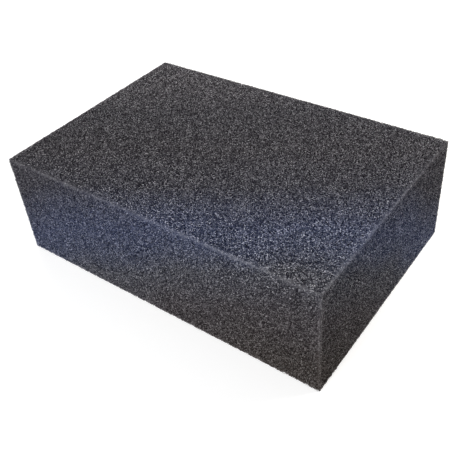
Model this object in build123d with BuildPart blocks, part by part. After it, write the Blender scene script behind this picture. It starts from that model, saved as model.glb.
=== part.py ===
from build123d import *
import os

# Grout sponge, in millimetres: one block of open-cell foam, sawn square on all six sides.
# The origin is the middle of the face it lies on. +X is its length, +Y its width and
# +Z its thickness.

# Driving dimensions
length = 180.0
width = 122.0
thickness = 58.0
corner_radius = 0.9  # the four upright edges, where two saw cuts meet
arris_radius = 0.7  # the edges round the top and bottom faces, worn a little by handling

os.makedirs("parts", exist_ok=True)

# The sponge is cut from a foam slab: its outline is sawn first, and the block is then
# split off at its thickness. Open foam crumbles slightly along a cut, so no edge is sharp.
with BuildPart() as sponge:
    with BuildSketch(Plane.XY):
        Rectangle(length, width)
    extrude(amount=thickness)
    fillet(sponge.edges().filter_by(Axis.Z), radius=corner_radius)
    bottom_edges = sponge.faces().sort_by(Axis.Z)[0].edges()
    top_edges = sponge.faces().sort_by(Axis.Z)[-1].edges()
    fillet(bottom_edges + top_edges, radius=arris_radius)

sponge.part.label = "sponge"
export_step(sponge.part, "parts/sponge.step")
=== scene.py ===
import math

import bpy
import numpy as np
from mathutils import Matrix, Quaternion, Vector
from mathutils.geometry import delaunay_2d_cdt


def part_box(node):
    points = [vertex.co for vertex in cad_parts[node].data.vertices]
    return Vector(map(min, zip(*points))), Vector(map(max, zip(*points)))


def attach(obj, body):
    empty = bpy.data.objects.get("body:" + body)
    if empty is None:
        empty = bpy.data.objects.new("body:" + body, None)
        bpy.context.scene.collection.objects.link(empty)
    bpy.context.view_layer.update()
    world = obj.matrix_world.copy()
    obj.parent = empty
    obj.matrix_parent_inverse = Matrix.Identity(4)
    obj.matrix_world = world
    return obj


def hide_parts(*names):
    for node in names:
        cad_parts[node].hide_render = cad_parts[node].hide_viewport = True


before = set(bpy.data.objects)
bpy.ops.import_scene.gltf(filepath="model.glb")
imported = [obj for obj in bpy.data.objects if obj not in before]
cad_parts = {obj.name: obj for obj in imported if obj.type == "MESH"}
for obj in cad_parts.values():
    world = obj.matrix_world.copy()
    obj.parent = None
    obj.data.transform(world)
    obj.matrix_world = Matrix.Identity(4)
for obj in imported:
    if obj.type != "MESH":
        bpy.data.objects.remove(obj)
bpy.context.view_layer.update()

# The sponge is one block of open-cell polyurethane foam, dyed charcoal right through.
# It is sawn from a slab on all six sides, and the saw opens every cell that it meets, so each
# side is a net of strut ends over small open pores, and the edges of the block crumble a little.
block_low, block_high = (np.array(corner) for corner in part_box("sponge"))
block_centre = (block_low + block_high) / 2
block_half = (block_high - block_low) / 2

pore_spacing = 0.00156
hidden_pore_spacing = 0.00270  # on the underside
edge_pore_spacing = 0.00085  # finer, so that the edges of the block stay straight
edge_pore_stray = 0.3  # most that a pore on an edge is out of step, as a share of the spacing
pore_depth = 0.00150
least_pore_depth = 0.45  # share of the full depth
edge_pore_depth = 0.12  # share of the full depth, right on an edge of the block
rim_unevenness = 0.00010
crumble_width = 0.0022  # the strip along each edge where the pores grow shallower
settling_rounds = 1
same_place = 1e-9  # points closer than this are one
pore_floor_merge = 1e-6  # joins the corners of each pore's floor, once it is shrunk to a point
pore_seed = 11
map_gap = 0.002  # between the sides of the block on their map
rng = np.random.default_rng(pore_seed)


def points_along_edges(spacing):
    """The eight corners, and pore centres at uneven steps along the twelve edges of the block."""
    ends = np.array([block_low, block_high])
    found = [[ends[i, 0], ends[j, 1], ends[k, 2]] for i in (0, 1) for j in (0, 1) for k in (0, 1)]
    for along in range(3):
        across = [axis for axis in range(3) if axis != along]
        count = round(2 * block_half[along] / spacing)
        for first in (0, 1):
            for second in (0, 1):
                stray = rng.uniform(-edge_pore_stray, edge_pore_stray, count - 1)
                steps = (np.arange(1, count) + stray) / count
                line = np.empty((count - 1, 3))
                line[:, along] = block_low[along] + 2 * block_half[along] * steps
                line[:, across[0]] = ends[first, across[0]]
                line[:, across[1]] = ends[second, across[1]]
                found.extend(line)
    return np.array(found)


def triangles_between(points):
    """Joins flat points in the roundest triangles, counted anticlockwise."""
    made = delaunay_2d_cdt([Vector(point) for point in points], [], [], 0, same_place)
    given = np.array([indices[0] for indices in made[3]])
    return given[np.array(made[2])]


def settle(points, fixed):
    """Spreads random points evenly, as cells in rising foam push one another apart."""
    for _ in range(settling_rounds):
        everything = np.vstack([points, fixed])
        sides = triangles_between(everything)
        pairs = np.vstack([sides[:, [0, 1]], sides[:, [1, 2]], sides[:, [2, 0]]])
        total = np.zeros_like(everything)
        count = np.zeros(len(everything))
        for here, there in ((0, 1), (1, 0)):
            np.add.at(total, pairs[:, here], everything[pairs[:, there]])
            np.add.at(count, pairs[:, here], 1)
        points = (total / count[:, None])[: len(points)]
    return points


def pore_centres(spacings, edge_spacing):
    """A mesh over sides of the block, with a corner at each pore's centre. All six sides close it.

    A side is an axis with 0 for its low end or 1 for its high end, and each has its own spacing.
    """
    edge_points = points_along_edges(edge_spacing)
    corners = [edge_points]
    faces = []
    held = len(edge_points)
    for (axis, end), spacing in spacings.items():
        flat = [(axis + 1) % 3, (axis + 2) % 3]
        level = (block_low[axis], block_high[axis])[end]
        on_rim = np.flatnonzero(np.abs(edge_points[:, axis] - level) < same_place)
        size = 2 * block_half[flat]
        cell_area = spacing**2 * math.sqrt(3) / 2
        count = int(size[0] * size[1] / cell_area)
        inner = block_low[flat] + spacing / 2 + rng.random((count, 2)) * (size - spacing)
        inner = settle(inner, edge_points[on_rim][:, flat])
        placed = np.empty((count, 3))
        placed[:, flat] = inner
        placed[:, axis] = level
        index = np.concatenate([np.arange(held, held + count), on_rim])
        sides = index[triangles_between(np.vstack([inner, edge_points[on_rim][:, flat]]))]
        faces.append(sides if end else sides[:, ::-1])
        corners.append(placed)
        held += count
    corners = np.vstack(corners)
    mesh = bpy.data.meshes.new("pore centres")
    mesh.from_pydata(corners.tolist(), [], np.vstack(faces).tolist())
    # Of a point's three distances to the sides, the middle one is its distance from an edge.
    inside = np.sort(block_half - np.abs(corners - block_centre), axis=1)[:, 1]
    share = mesh.attributes.new("from_edge", "FLOAT", "POINT")
    share.data.foreach_set("value", np.clip(inside / crumble_width, 0, 1).astype(np.float32))
    return mesh


def new_tree(name, kind, inputs, outputs):
    """An empty node tree with named sockets. An input is a name, a socket type and a value."""
    tree = bpy.data.node_groups.new(name, kind)
    for label, socket, value in inputs:
        made = tree.interface.new_socket(label, in_out="INPUT", socket_type="NodeSocket" + socket)
        if value is not None:
            made.default_value = value
    for label, socket in outputs:
        tree.interface.new_socket(label, in_out="OUTPUT", socket_type="NodeSocket" + socket)
    return tree


def put(tree, kind, inputs=(), **settings):
    """Adds a node. Each input named, or numbered, takes a value or another node's output."""
    made = tree.nodes.new(kind)
    for name, value in settings.items():
        setattr(made, name, value)
    for name, value in dict(inputs).items():
        if isinstance(value, bpy.types.NodeSocket):
            tree.links.new(value, made.inputs[name])
        else:
            made.inputs[name].default_value = value
    return made.outputs


def calculate(tree, operation, first, second=0.0, third=0.0):
    """A Math node's result."""
    return put(tree, "ShaderNodeMath", {0: first, 1: second, 2: third}, operation=operation)[0]


def vector(tree, operation, first, second=(0, 0, 0)):
    """A Vector Math node's result."""
    return put(tree, "ShaderNodeVectorMath", {0: first, 1: second}, operation=operation)[0]


def scaled(tree, first, scale):
    """A vector or a colour times a number."""
    return put(tree, "ShaderNodeVectorMath", {0: first, "Scale": scale}, operation="SCALE")[0]


def open_cell_tree():
    """Geometry nodes that turn the mesh of pore centres into a net of rims round sunken pores."""
    tree = new_tree("Open cells", "GeometryNodeTree", (
        ("Geometry", "Geometry", None),
        ("Pore depth", "Float", 0.001),
        ("Least depth", "Float", 0.3),
        ("Depth at edges", "Float", 0.1),
        ("Rim unevenness", "Float", 0.0001),
        ("Seed", "Int", 0),
        ("Material", "Material", None),
    ), (("Geometry", "Geometry"),))
    given = put(tree, "NodeGroupInput")
    cells = put(tree, "GeometryNodeDualMesh", {"Mesh": given["Geometry"]})["Dual Mesh"]
    uneven = put(tree, "FunctionNodeRandomValue", {
        "Max": given["Rim unevenness"], "Seed": given["Seed"],
    }, data_type="FLOAT")["Value"]
    rims = put(tree, "GeometryNodeSetPosition", {
        "Geometry": cells,
        "Offset": scaled(tree, put(tree, "GeometryNodeInputNormal")["Normal"],
                         calculate(tree, "MULTIPLY", uneven, -1.0)),
    })["Geometry"]
    chance = put(tree, "FunctionNodeRandomValue", {
        "Min": given["Least depth"], "Seed": given["Seed"],
    }, data_type="FLOAT")["Value"]
    from_edge = put(tree, "GeometryNodeInputNamedAttribute", {"Name": "from_edge"})["Attribute"]
    falloff = put(tree, "ShaderNodeMapRange", {
        "Value": from_edge, "To Min": given["Depth at edges"],
    })["Result"]
    share = calculate(tree, "MULTIPLY", chance, falloff)
    depth = calculate(tree, "MULTIPLY", share, given["Pore depth"])
    sunk = put(tree, "GeometryNodeExtrudeMesh", {
        "Mesh": rims, "Individual": True, "Offset Scale": calculate(tree, "MULTIPLY", depth, -1.0),
    })
    closed = put(tree, "GeometryNodeScaleElements", {
        "Geometry": sunk["Mesh"], "Selection": sunk["Top"], "Scale": 0.0,
    })["Geometry"]
    marked = put(tree, "GeometryNodeStoreNamedAttribute", {
        "Geometry": closed, "Name": "pore", "Value": sunk["Top"],
    }, data_type="FLOAT", domain="POINT")["Geometry"]
    merged = put(tree, "GeometryNodeMergeByDistance", {
        "Geometry": marked, "Selection": sunk["Top"], "Distance": pore_floor_merge,
    })["Geometry"]
    real = put(tree, "GeometryNodeRealizeInstances", {"Geometry": merged})["Geometry"]
    dressed = put(tree, "GeometryNodeSetMaterial", {
        "Geometry": real, "Material": given["Material"],
    })["Geometry"]
    put(tree, "NodeGroupOutput", {"Geometry": dressed})
    return tree


def numbers(items, name, kind, width=1):
    """One property of every item of a mesh, as an array."""
    found = np.empty(len(items) * width, kind)
    items.foreach_get(name, found)
    return found.reshape(-1, width)


def lay_out_sides(mesh):
    """Adds a map with the six sides of the block laid out beside one another, for baked colours."""
    faces = numbers(mesh.polygons, "loop_total", np.int32)
    face = np.repeat(np.arange(len(faces)), faces[:, 0])
    points = numbers(mesh.vertices, "co", np.float32, 3) - block_low
    corners = points[numbers(mesh.loops, "vertex_index", np.int32)[:, 0]]
    middle = np.stack([np.bincount(face, corners[:, axis]) for axis in range(3)], axis=1) / faces
    length, width, thickness = 2 * block_half
    side_of = np.argmin(np.hstack([middle, 2 * block_half - middle]), axis=1)[face]
    beside = length + map_gap
    above = width + map_gap
    laid = np.empty((len(corners), 2))
    for side, (across, up, left, bottom) in enumerate((
        (2, 1, beside, 0),
        (0, 2, 0, 2 * above),
        (0, 1, 0, above),
        (2, 1, beside, above),
        (2, 0, beside + thickness + map_gap, 0),
        (0, 1, 0, 0),
    )):
        here = side_of == side
        laid[here] = corners[here][:, [across, up]] + (left, bottom)
    laid = (laid + map_gap / 2) / (2 * above + thickness + map_gap)
    mesh.uv_layers.new(name="OFBake").uv.foreach_set("vector", laid.astype(np.float32).ravel())


def grown(mesh, name, tree, values):
    """Runs a tree on a mesh and gives back one object that holds the plain result."""
    piece = bpy.data.objects.new(name, mesh)
    bpy.context.scene.collection.objects.link(piece)
    modifier = piece.modifiers.new(tree.name, "NODES")
    modifier.node_group = tree
    for socket in tree.interface.items_tree:
        if socket.in_out == "INPUT" and socket.name in values:
            modifier[socket.identifier] = values[socket.name]
    evaluated = piece.evaluated_get(bpy.context.evaluated_depsgraph_get())
    result = bpy.data.meshes.new_from_object(evaluated)
    piece.modifiers.remove(modifier)
    piece.data = result
    return piece


# Charcoal dye never takes quite evenly: it is grey, then bluer across the middle, then browner.
# It changes along a line from the top corner at the back left to the foot of the front right one.
dye_direction = Vector((0.36, -0.62, -0.78)).normalized()
dye_start = -0.0902
dye_end = 0.0612
dye_colours = (
    (0.00, (0.069, 0.065, 0.071)),
    (0.16, (0.050, 0.048, 0.054)),
    (0.31, (0.0515, 0.0485, 0.0540)),
    (0.44, (0.052, 0.051, 0.061)),
    (0.58, (0.065, 0.073, 0.113)),
    (0.64, (0.067, 0.074, 0.108)),
    (0.71, (0.070, 0.071, 0.084)),
    (0.82, (0.060, 0.055, 0.059)),
    (0.96, (0.049, 0.043, 0.041)),
)
dye_clouding = 0.006  # how far the bands of colour wander
dye_clouds_per_metre = 24.0


def dye_tree():
    """The slow change of the dye through the block."""
    tree = new_tree("Dye", "ShaderNodeTree", (
        ("Position", "Vector", None),
    ), (("Color", "Color"),))
    given = put(tree, "NodeGroupInput")
    along = put(tree, "ShaderNodeVectorMath", {
        0: given["Position"], 1: dye_direction,
    }, operation="DOT_PRODUCT")["Value"]
    cloud = put(tree, "ShaderNodeTexNoise", {
        "Vector": given["Position"], "Scale": dye_clouds_per_metre, "Detail": 2.0, "Roughness": 0.5,
    })["Fac"]
    drift = put(tree, "ShaderNodeMapRange", {
        "Value": cloud, "From Min": 0.3, "From Max": 0.7,
        "To Min": -dye_clouding / 2, "To Max": dye_clouding / 2,
    })["Result"]
    place = put(tree, "ShaderNodeMapRange", {
        "Value": calculate(tree, "ADD", along, drift), "From Min": dye_start, "From Max": dye_end,
    })["Result"]
    ramp = tree.nodes.new("ShaderNodeValToRGB")
    tree.links.new(place, ramp.inputs["Fac"])
    stops = ramp.color_ramp.elements
    while len(stops) < len(dye_colours):
        stops.new(0.5)
    for stop, (where, colour) in zip(stops, dye_colours):
        stop.position = where
        stop.color = (*colour, 1)
    put(tree, "NodeGroupOutput", {"Color": ramp.outputs["Color"]})
    return tree


def edge_tree():
    """How near a point lies to an edge of the block: 1 on the edge, 0 past the width."""
    tree = new_tree("Nearness to an edge", "ShaderNodeTree", (
        ("Position", "Vector", None),
        ("Width", "Float", 0.002),
    ), (("Nearness", "Float"),))
    given = put(tree, "NodeGroupInput")
    offset = vector(tree, "SUBTRACT", given["Position"], tuple(block_centre))
    offset = vector(tree, "ABSOLUTE", offset)
    inside = vector(tree, "SUBTRACT", tuple(block_half), offset)
    inside = put(tree, "ShaderNodeSeparateXYZ", {0: inside})
    least = calculate(tree, "MINIMUM", inside[0], inside[1])
    most = calculate(tree, "MAXIMUM", inside[0], inside[1])
    middle = calculate(tree, "MAXIMUM", least, calculate(tree, "MINIMUM", most, inside[2]))
    near = put(tree, "ShaderNodeMapRange", {
        "Value": calculate(tree, "DIVIDE", middle, given["Width"]), "To Min": 1.0, "To Max": 0.0,
    }, interpolation_type="SMOOTHSTEP")["Result"]
    put(tree, "NodeGroupOutput", {"Nearness": near})
    return tree


# The grain's pattern is worked out with one cell as its unit.
cell_stray = 0.9  # how far cells are pushed out of an even pattern
strays_per_cell = 0.6
opening_contrast = 4.0  # a power, which leaves only a few openings in painted light and the rest in painted shade
strut_ends_per_cell = 1.25
strut_end_shift = (7.3, 2.9, 5.1)  # sets the strut ends apart from the cells' own centres


def grain_tree():
    """Cells too fine for the mesh: pale struts, and painted glints on strut ends, over openings in
    painted shade.
    """
    tree = new_tree("Foam grain", "ShaderNodeTree", (
        ("Position", "Vector", None),
        ("Cell size", "Float", 0.001),
        ("Opening light", "Float", 0.4),
        ("Strut", "Float", 1.2),
        ("Strut end glint", "Float", 1.5),
    ), (("Light", "Float"),))
    given = put(tree, "NodeGroupInput")
    place = scaled(tree, given["Position"], calculate(tree, "DIVIDE", 1.0, given["Cell size"]))
    stray = put(tree, "ShaderNodeTexNoise", {
        "Vector": place, "Scale": strays_per_cell, "Detail": 1.0,
    })["Color"]
    stray = scaled(tree, vector(tree, "SUBTRACT", stray, (0.5, 0.5, 0.5)), cell_stray)
    bent = vector(tree, "ADD", place, stray)
    cell = put(tree, "ShaderNodeTexVoronoi", {"Vector": bent, "Scale": 1.0})
    chance = put(tree, "ShaderNodeSeparateColor", {0: cell["Color"]})
    wall = put(tree, "ShaderNodeTexVoronoi", {
        "Vector": bent, "Scale": 1.0,
    }, feature="DISTANCE_TO_EDGE")["Distance"]
    strut = put(tree, "ShaderNodeMapRange", {
        "Value": wall, "From Min": 0.02, "From Max": 0.07, "To Min": 1.0, "To Max": 0.0,
    }, interpolation_type="SMOOTHSTEP")["Result"]
    # Painted shade in the openings: most are dark, a few are lit.
    opening_light = calculate(tree, "POWER", chance[0], opening_contrast)
    opening_light = calculate(tree, "MULTIPLY", opening_light, given["Opening light"])
    light = put(tree, "ShaderNodeMix", {"Factor": strut, "A": opening_light, "B": given["Strut"]})["Result"]
    # Painted glints on a random few strut ends.
    tip = put(tree, "ShaderNodeTexVoronoi", {
        "Vector": vector(tree, "ADD", bent, strut_end_shift), "Scale": strut_ends_per_cell,
    })
    end_glint = put(tree, "ShaderNodeMapRange", {
        "Value": tip["Distance"], "From Min": 0.12, "From Max": 0.45, "To Min": 1.0, "To Max": 0.0,
    }, interpolation_type="SMOOTHSTEP")["Result"]
    luck = put(tree, "ShaderNodeMapRange", {
        "Value": put(tree, "ShaderNodeSeparateColor", {0: tip["Color"]})[0],
        "From Min": 0.4, "From Max": 1.0,
    })["Result"]
    end_glint = calculate(tree, "MULTIPLY", calculate(tree, "MULTIPLY", end_glint, luck), given["Strut end glint"])
    put(tree, "NodeGroupOutput", {"Light": calculate(tree, "ADD", light, end_glint)})
    return tree


# Painted light: a paler band along the edges of the block, where cut struts catch light, in patches
# and weaker at the foot.
painted_edge_width = 0.0023
painted_edge_light = 2.9
painted_edge_patches_per_metre = 300.0
painted_edge_at_foot = 0.6  # share of the top edges' painted highlight that the edges at the foot have
painted_edge_fading = 0.6  # share of its colour that the foam loses under the full painted edge highlight
glint_fading = 0.6  # a power, by which colour fades as painted light makes a strut paler, as a glint would
least_light = 0.1  # below this painted light an opening grows no deeper in colour


def coloured_tree():
    """The dye, made lighter or darker by painted light and shade, and paler and plainer under a
    painted highlight along the edges of the block.

    A strut with a bright painted glint turns nearly grey, and openings in painted shade hold the
    colour.
    """
    tree = new_tree("Dye with painted light", "ShaderNodeTree", (
        ("Position", "Vector", None),
        ("Light", "Float", 1.0),
        ("Painted edge width", "Float", 0.003),
        ("Painted edge light", "Float", 3.0),
        ("Full colour at", "Float", 2.0),
    ), (("Color", "Color"), ("Light", "Float")))
    given = put(tree, "NodeGroupInput")
    tint = put(tree, "ShaderNodeGroup", {"Position": given["Position"]}, node_tree=dye_tree())["Color"]
    near = put(tree, "ShaderNodeGroup", {
        "Position": given["Position"], "Width": given["Painted edge width"],
    }, node_tree=edge_tree())["Nearness"]
    patches = put(tree, "ShaderNodeTexNoise", {
        "Vector": given["Position"], "Scale": painted_edge_patches_per_metre, "Detail": 2.0,
    })["Fac"]
    patches = put(tree, "ShaderNodeMapRange", {
        "Value": patches, "From Min": 0.35, "From Max": 0.65, "To Min": 0.18, "To Max": 0.55,
    })["Result"]
    height = put(tree, "ShaderNodeSeparateXYZ", {0: given["Position"]})["Z"]
    upper = put(tree, "ShaderNodeMapRange", {
        "Value": height, "From Max": float(block_high[2]), "To Min": painted_edge_at_foot,
    })["Result"]
    # The painted highlight along the edges: near an edge, in patches, and weaker towards the foot.
    painted_edge = calculate(tree, "MULTIPLY", calculate(tree, "MULTIPLY", near, patches), upper)
    light = put(tree, "ShaderNodeMix", {
        "Factor": painted_edge, "A": given["Light"], "B": given["Painted edge light"],
    })["Result"]
    # Painted glints: the more painted light, the greyer the colour; in painted shade the dye grows
    # stronger.
    share = calculate(tree, "MAXIMUM", light, least_light)
    share = calculate(tree, "DIVIDE", share, given["Full colour at"])
    faded = calculate(tree, "POWER", share, -glint_fading)
    plain = calculate(tree, "MULTIPLY_ADD", painted_edge, -painted_edge_fading, 1.0)
    # Inputs 6 and 7 and output 2 are a Mix node's colours. A factor past 1 makes the dye stronger.
    held = put(tree, "ShaderNodeMix", {
        0: calculate(tree, "MULTIPLY", faded, plain),
        6: put(tree, "ShaderNodeRGBToBW", {0: tint})[0],
        7: tint,
    }, data_type="RGBA", clamp_factor=False)[2]
    put(tree, "NodeGroupOutput", {"Color": scaled(tree, held, light), "Light": light})
    return tree


coloured = coloured_tree()

foam = bpy.data.materials.new("charcoal foam")
foam.use_nodes = True
tree = foam.node_tree
shader = tree.nodes["Principled BSDF"]
position = put(tree, "ShaderNodeTexCoord")["Object"]
cells = put(tree, "ShaderNodeGroup", {
    "Position": position, "Cell size": 0.00050, "Opening light": 5.6, "Strut": 0.7, "Strut end glint": 10.0,
}, node_tree=grain_tree())["Light"]
# Painted shade: the floors of the pores are painted darker than the rims between them.
pore = put(tree, "ShaderNodeAttribute", attribute_name="pore")["Fac"]
pit_floor_shade = put(tree, "ShaderNodeMapRange", {
    "Value": pore, "From Min": 0.2, "From Max": 1.0, "To Min": 1.1, "To Max": 0.6,
})["Result"]
look = put(tree, "ShaderNodeGroup", {
    "Position": position, "Light": calculate(tree, "MULTIPLY", cells, pit_floor_shade),
    "Painted edge width": painted_edge_width, "Painted edge light": painted_edge_light,
}, node_tree=coloured)
tree.links.new(look["Color"], shader.inputs["Base Color"])
shader.inputs["Roughness"].default_value = 0.9
shader.inputs["Specular IOR Level"].default_value = 0.25
raised = put(tree, "ShaderNodeBump", {
    "Height": look["Light"], "Strength": 0.5, "Distance": 0.0003,
})["Normal"]
tree.links.new(raised, shader.inputs["Normal"])

spacings = {(axis, end): pore_spacing for axis in range(3) for end in range(2)}
spacings[2, 0] = hidden_pore_spacing
sponge = grown(pore_centres(spacings, edge_pore_spacing), "sponge_foam", open_cell_tree(), {
    "Pore depth": pore_depth,
    "Least depth": least_pore_depth,
    "Depth at edges": edge_pore_depth,
    "Rim unevenness": rim_unevenness,
    "Seed": pore_seed,
    "Material": foam,
})
lay_out_sides(sponge.data)
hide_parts("sponge")
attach(sponge, "root")

# The outermost struts of the foam. A cell is a cage of thin struts, and the saw leaves the cages
# that it meets half open, so a net of struts of the same dyed foam hangs over the open pores.
# They are modelled on the five sides that show, each net in a left and a right half.
strut_nets = (  # a name, its sides, the size of its cells, a strut's thickness, the most painted glint
    ("top", ((2, 1),), 0.00105, 0.00022, 1.0),
    ("near", ((1, 0), (0, 1)), 0.00100, 0.00020, 0.88),
    ("far", ((1, 1), (0, 0)), 0.00100, 0.00020, 0.88),
)
net_margin = 0.001  # past the ends of the block, so that the halves leave no strut out
net_halves = (
    ("left", block_low[0] - net_margin, 0.0),
    ("right", 0.0, block_high[0] + net_margin),
)
thinnest_strut = 0.6  # share of the net's thickness
thickest_strut = 1.3  # share of the net's thickness
strut_proud = 0.00010
strut_sunk = 0.00012
strut_seed = 5
strut_spot = 0.0024  # size of each strut on the map of colours
# Painted light on the struts: each gets a random painted glint between these levels, and the top's net
# reaches brighter than the sides'.
least_strut_light = 0.25
brightest_strut_glint = 11.6
strut_contrast = 5.5  # a power, which leaves only a few struts with a bright painted glint


def strut_net_tree():
    """Geometry nodes that lay a thin strut along each side of each open cell."""
    tree = new_tree("Strut net", "GeometryNodeTree", (
        ("Geometry", "Geometry", None),
        ("Strut", "Object", None),
        ("Thickness", "Float", 0.0002),
        ("Proud", "Float", 0.0001),
        ("Sunk", "Float", 0.0003),
        ("Most strut glint", "Float", 1.0),
        ("From", "Float", -1.0),
        ("To", "Float", 1.0),
        ("Seed", "Int", 0),
        ("Material", "Material", None),
    ), (("Geometry", "Geometry"),))
    given = put(tree, "NodeGroupInput")
    cells = put(tree, "GeometryNodeDualMesh", {"Mesh": given["Geometry"]})["Dual Mesh"]
    height = put(tree, "FunctionNodeRandomValue", {
        "Min": calculate(tree, "MULTIPLY", given["Sunk"], -1.0), "Max": given["Proud"],
        "Seed": given["Seed"],
    }, data_type="FLOAT")["Value"]
    outwards = put(tree, "GeometryNodeInputNormal")["Normal"]
    cells = put(tree, "GeometryNodeSetPosition", {
        "Geometry": cells, "Offset": scaled(tree, outwards, height),
    })["Geometry"]
    ends = put(tree, "GeometryNodeInputMeshEdgeVertices")
    along = vector(tree, "SUBTRACT", ends["Position 2"], ends["Position 1"])
    cells = put(tree, "GeometryNodeStoreNamedAttribute", {
        "Geometry": cells, "Name": "along", "Value": along,
    }, data_type="FLOAT_VECTOR", domain="EDGE")["Geometry"]
    middles = put(tree, "GeometryNodeMeshToPoints", {"Mesh": cells}, mode="EDGES")["Points"]
    along = put(tree, "GeometryNodeInputNamedAttribute", {
        "Name": "along",
    }, data_type="FLOAT_VECTOR")["Attribute"]
    turn = put(tree, "FunctionNodeAlignRotationToVector", {"Vector": along}, axis="Z")["Rotation"]
    roll = put(tree, "FunctionNodeRandomValue", {
        "Max": (0, 0, math.tau), "Min": (0, 0, 0), "Seed": given["Seed"],
    }, data_type="FLOAT_VECTOR")["Value"]
    turn = put(tree, "FunctionNodeRotateRotation", {
        "Rotation": turn, "Rotate By": roll,
    }, rotation_space="LOCAL")["Rotation"]
    length = put(tree, "ShaderNodeVectorMath", {0: along}, operation="LENGTH")["Value"]
    thick = put(tree, "FunctionNodeRandomValue", {
        "Min": thinnest_strut, "Max": thickest_strut, "Seed": given["Seed"],
    }, data_type="FLOAT")["Value"]
    thick = calculate(tree, "MULTIPLY", thick, given["Thickness"])
    size = put(tree, "ShaderNodeCombineXYZ", {"X": thick, "Y": thick, "Z": length})["Vector"]
    strut = put(tree, "GeometryNodeObjectInfo", {"Object": given["Strut"]})["Geometry"]
    place = put(tree, "ShaderNodeSeparateXYZ", {0: put(tree, "GeometryNodeInputPosition")[0]})["X"]
    within = calculate(tree, "MULTIPLY", calculate(tree, "GREATER_THAN", place, given["From"]),
                       calculate(tree, "LESS_THAN", place, given["To"]))
    placed = put(tree, "GeometryNodeInstanceOnPoints", {
        "Points": middles, "Selection": within, "Instance": strut, "Rotation": turn, "Scale": size,
    })["Instances"]
    # Each strut's random share of the painted glint.
    shade = put(tree, "FunctionNodeRandomValue", {
        "Max": given["Most strut glint"], "Seed": given["Seed"],
    }, data_type="FLOAT")["Value"]
    placed = put(tree, "GeometryNodeStoreNamedAttribute", {
        "Geometry": placed, "Name": "shade", "Value": shade,
    }, data_type="FLOAT", domain="INSTANCE")["Geometry"]
    real = put(tree, "GeometryNodeRealizeInstances", {"Geometry": placed})["Geometry"]
    dressed = put(tree, "GeometryNodeSetMaterial", {
        "Geometry": real, "Material": given["Material"],
    })["Geometry"]
    put(tree, "NodeGroupOutput", {"Geometry": dressed})
    return tree


strut_foam = bpy.data.materials.new("foam struts")
strut_foam.use_nodes = True
tree = strut_foam.node_tree
shader = tree.nodes["Principled BSDF"]
# A strut's painted glint sets how light its colour is painted.
shade = put(tree, "ShaderNodeAttribute", attribute_name="shade")["Fac"]
light = put(tree, "ShaderNodeMapRange", {
    "Value": calculate(tree, "POWER", shade, strut_contrast),
    "To Min": least_strut_light, "To Max": brightest_strut_glint,
})["Result"]
look = put(tree, "ShaderNodeGroup", {
    "Position": put(tree, "ShaderNodeTexCoord")["Object"], "Light": light,
    "Painted edge width": painted_edge_width, "Painted edge light": painted_edge_light,
}, node_tree=coloured)
tree.links.new(look["Color"], shader.inputs["Base Color"])
shader.inputs["Roughness"].default_value = 0.8
shader.inputs["Specular IOR Level"].default_value = 0.25

# One strut is a slim tetrahedron with an edge across each end. Its size is set as it is placed.
strut_mesh = bpy.data.meshes.new("strut")
strut_mesh.from_pydata(
    [(-0.5, 0, -0.5), (0.5, 0, -0.5), (0, -0.5, 0.5), (0, 0.5, 0.5)], [],
    [(0, 1, 2), (0, 3, 1), (0, 2, 3), (1, 3, 2)],
)
square = np.array([(0, 0), (0, 1), (1, 1), (1, 0)], np.float32) * strut_spot
square = square[numbers(strut_mesh.loops, "vertex_index", np.int32)[:, 0]]
strut_mesh.uv_layers.new(name="OFBake").uv.foreach_set("vector", square.ravel())
strut_shape = bpy.data.objects.new("strut", strut_mesh)
bpy.context.scene.collection.objects.link(strut_shape)


def lay_out_struts(mesh):
    """Moves each strut on its map to its place in the dye and its painted glint, for baked colours."""
    along = numbers(mesh.vertices, "co", np.float32, 3) @ np.array(dye_direction)
    along = (along - along.min()) / np.ptp(along)
    shade = numbers(mesh.attributes["shade"].data, "value", np.float32)[:, 0]
    place = np.stack([along, shade], axis=1) * (1 - 2 * strut_spot) + strut_spot / 2
    laid = numbers(mesh.uv_layers["OFBake"].uv, "vector", np.float32, 2)
    laid += place[numbers(mesh.loops, "vertex_index", np.int32)[:, 0]]
    mesh.uv_layers["OFBake"].uv.foreach_set("vector", laid.ravel())


net_tree = strut_net_tree()
for where, sides, spacing, thickness, most_strut_glint in strut_nets:
    centres = pore_centres({side: spacing for side in sides}, spacing)
    for half, start, end in net_halves:
        net = grown(centres, f"struts_{where}_{half}", net_tree, {
            "Strut": strut_shape,
            "Thickness": thickness,
            "Proud": strut_proud,
            "Sunk": strut_sunk,
            "Most strut glint": most_strut_glint,
            "From": start,
            "To": end,
            "Seed": strut_seed,
            "Material": strut_foam,
        })
        lay_out_struts(net.data)
        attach(net, "root")
bpy.data.objects.remove(strut_shape)

# The floor is a plain pale sheet. It looks white to the camera and keeps the block's shadow,
# and it throws only a little light back up at the foam.
reach = 3.0
floor_mesh = bpy.data.meshes.new("floor")
floor_mesh.from_pydata([
    (-reach, -reach, 0), (reach, -reach, 0), (reach, reach, 0), (-reach, reach, 0),
], [], [(0, 1, 2, 3)])
floor = bpy.data.objects.new("floor", floor_mesh)
bpy.context.scene.collection.objects.link(floor)
paper = bpy.data.materials.new("white floor")
paper.use_nodes = True
tree = paper.node_tree
tree.nodes.clear()
ray = put(tree, "ShaderNodeLightPath")
seen = calculate(tree, "MAXIMUM", ray["Is Camera Ray"], ray["Is Glossy Ray"])
dull = put(tree, "ShaderNodeBsdfDiffuse", {"Color": (0.45, 0.45, 0.45, 1)})["BSDF"]
bright = put(tree, "ShaderNodeBsdfDiffuse", {"Color": (0.7, 0.7, 0.7, 1)})["BSDF"]
away = put(tree, "ShaderNodeVectorMath", {
    0: put(tree, "ShaderNodeTexCoord")["Object"],
}, operation="LENGTH")["Value"]
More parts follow.
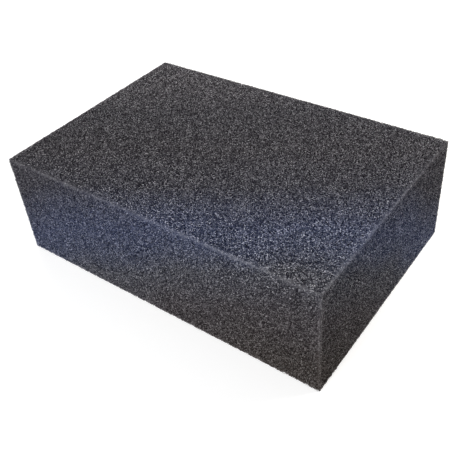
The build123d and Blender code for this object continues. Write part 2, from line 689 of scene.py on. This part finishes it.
glow = put(tree, "ShaderNodeMapRange", {
    "Value": away, "From Min": 0.35, "From Max": 1.2, "To Min": 0.45, "To Max": 0.95,
})["Result"]
glow = put(tree, "ShaderNodeEmission", {"Strength": glow})["Emission"]
white = put(tree, "ShaderNodeAddShader", {0: bright, 1: glow})[0]
put(tree, "ShaderNodeOutputMaterial", {
    "Surface": put(tree, "ShaderNodeMixShader", {0: seen, 1: dull, 2: white})[0],
})
floor_mesh.materials.append(paper)

# The surroundings are those of a plain white studio: white to the camera, and an even dim light
# on the sponge from all round.
world = bpy.data.worlds.new("surroundings")
bpy.context.scene.world = world
world.use_nodes = True
tree = world.node_tree
tree.nodes.clear()
strength = put(tree, "ShaderNodeMapRange", {
    "Value": put(tree, "ShaderNodeLightPath")["Is Camera Ray"], "To Min": 0.34, "To Max": 1.0,
})["Result"]
sky = put(tree, "ShaderNodeBackground", {
    "Color": (1, 1, 1, 1), "Strength": strength,
})["Background"]
put(tree, "ShaderNodeOutputWorld", {"Surface": sky})

# Four soft lamps, none of which the camera sees: a large one in front, which gives most of the
# light, a smaller and slightly warm one behind on the right, a small one low in front for the foot
# of the front side, and a large one behind on the left.
white_light = (1, 1, 1)
warm_light = (1, 0.965, 0.91)
sponge_middle = (0, 0, 0.03)  # near enough to aim a lamp at


def softbox(name, place, aim, size, watts, colour):
    """A square soft lamp at a place, turned to a point."""
    lamp = bpy.data.lights.new(name, "AREA")
    lamp.size = size
    lamp.energy = watts
    lamp.color = colour
    holder = bpy.data.objects.new(name, lamp)
    holder.location = place
    holder.rotation_mode = "QUATERNION"
    holder.rotation_quaternion = (Vector(aim) - Vector(place)).to_track_quat("-Z", "Y")
    holder.visible_camera = False
    bpy.context.scene.collection.objects.link(holder)


softbox(
    "key light", place=(-0.15, -0.97, 0.57), aim=sponge_middle,
    size=0.8, watts=13.1, colour=white_light,
)
softbox(
    "fill light", place=(0.315, 0.315, 0.20), aim=sponge_middle,
    size=0.25, watts=2.45, colour=warm_light,
)
softbox(
    "low light", place=(-0.04, -0.42, 0.04), aim=(-0.02, -0.061, 0.01),
    size=0.06, watts=0.16, colour=white_light,
)
softbox(
    "back light", place=(-0.75, 0.60, 0.45), aim=sponge_middle,
    size=0.6, watts=3.6, colour=white_light,
)

# The camera looks down past the front right corner of the block from a third of a metre away,
# rolled a little, and the centre line of its lens lies a little off the middle of the picture.
azimuth = math.radians(38.83)
elevation = math.radians(38.35)
roll = math.radians(-4.98)
aim = Vector((0.0048, -0.0023, 0.0230))
distance = 0.3490
picture_size = 452  # pixels
picture_middle = picture_size / 2
lens_centre = (234, 211.3)  # pixels from the left and from the top
focal_pixels = 673.4
back = Vector((
    math.sin(azimuth) * math.cos(elevation),
    -math.cos(azimuth) * math.cos(elevation),
    math.sin(elevation),
))
lens = bpy.data.cameras.new("camera")
lens.sensor_width = 36
lens.lens = lens.sensor_width * focal_pixels / picture_size
lens.shift_x = (picture_middle - lens_centre[0]) / picture_size
lens.shift_y = (lens_centre[1] - picture_middle) / picture_size
lens.clip_start = 0.01
lens.clip_end = 20
camera = bpy.data.objects.new("camera", lens)
camera.location = aim + back * distance
camera.rotation_mode = "QUATERNION"
camera.rotation_quaternion = (-back).to_track_quat("-Z", "Y") @ Quaternion((0, 0, 1), roll)
bpy.context.scene.collection.objects.link(camera)
bpy.context.scene.camera = camera
bpy.context.scene.view_settings.view_transform = "Standard"
